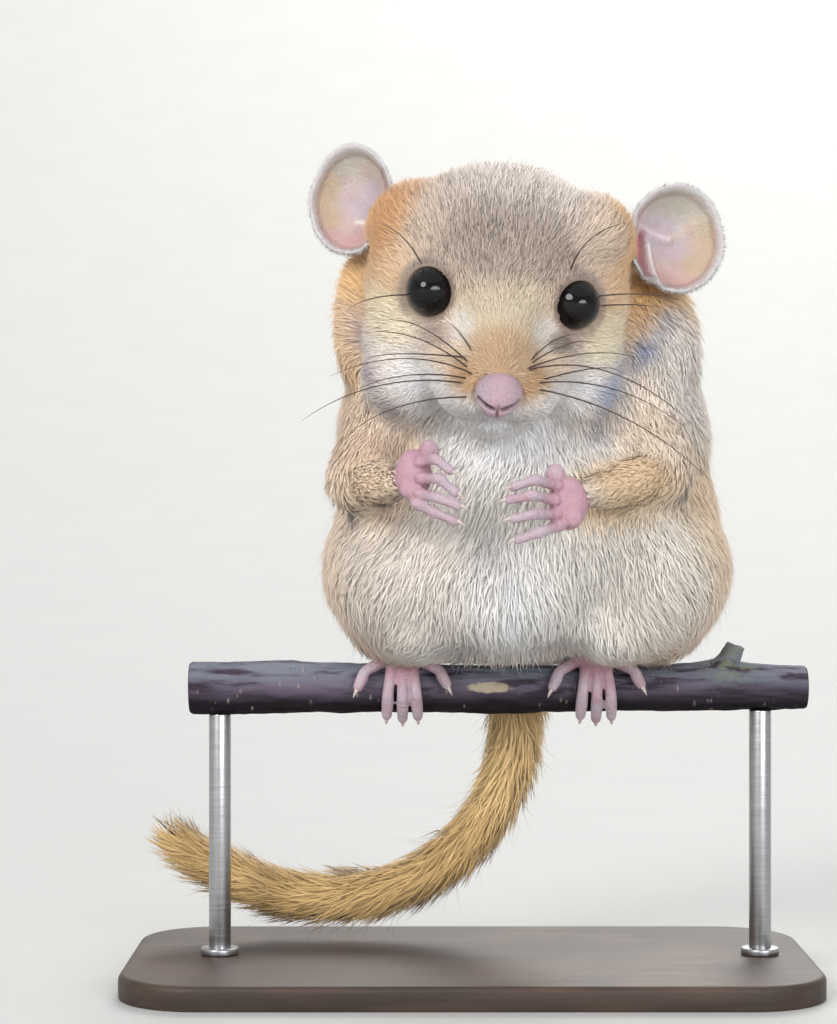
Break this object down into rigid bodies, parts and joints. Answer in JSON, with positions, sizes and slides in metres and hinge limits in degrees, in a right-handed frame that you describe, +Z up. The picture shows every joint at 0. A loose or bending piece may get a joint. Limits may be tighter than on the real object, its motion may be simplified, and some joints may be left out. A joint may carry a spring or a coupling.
{
  "type": "hazel dormouse",
  "caption": "Life-size hazel dormouse sitting upright on a short cut branch, forepaws raised to its mouth and tail hanging in a curve, held by a flat base with rods.",
  "frame": {"origin": "middle of the underside of the stand's base", "axes": "+Z up, the animal faces -Y, its own left is +X"},
  "size_m": [0.0681, 0.0438, 0.0824],
  "materials": {
    "orange_fur": "short soft fur",
    "pale_fur": "short soft fur",
    "pink_skin": "bare skin",
    "black_eye": "wet gloss",
    "bark": "smooth bark",
    "painted_wood": "satin dark brown paint",
    "steel": "satin"
  },
  "bodies": {
    "root": {"head": "orange_fur", "neck": "orange_fur", "upper_arm_left": "orange_fur", "upper_arm_right": "orange_fur", "forearm_left": "orange_fur", "forearm_right": "orange_fur", "thigh_left": "orange_fur", "thigh_right": "orange_fur", "tail_base": "orange_fur", "tail_middle": "orange_fur", "tail_tip": "orange_fur", "torso": "pale_fur", "nose": "pink_skin", "ear_left": "pink_skin", "ear_right": "pink_skin", "hand_left": "pink_skin", "hand_right": "pink_skin", "foot_left": "pink_skin", "foot_right": "pink_skin", "eye_left": "black_eye", "eye_right": "black_eye", "perch": "bark", "stand_base": "painted_wood", "stand_rod_left": "steel", "stand_rod_right": "steel"}
  },
  "joints": []
}
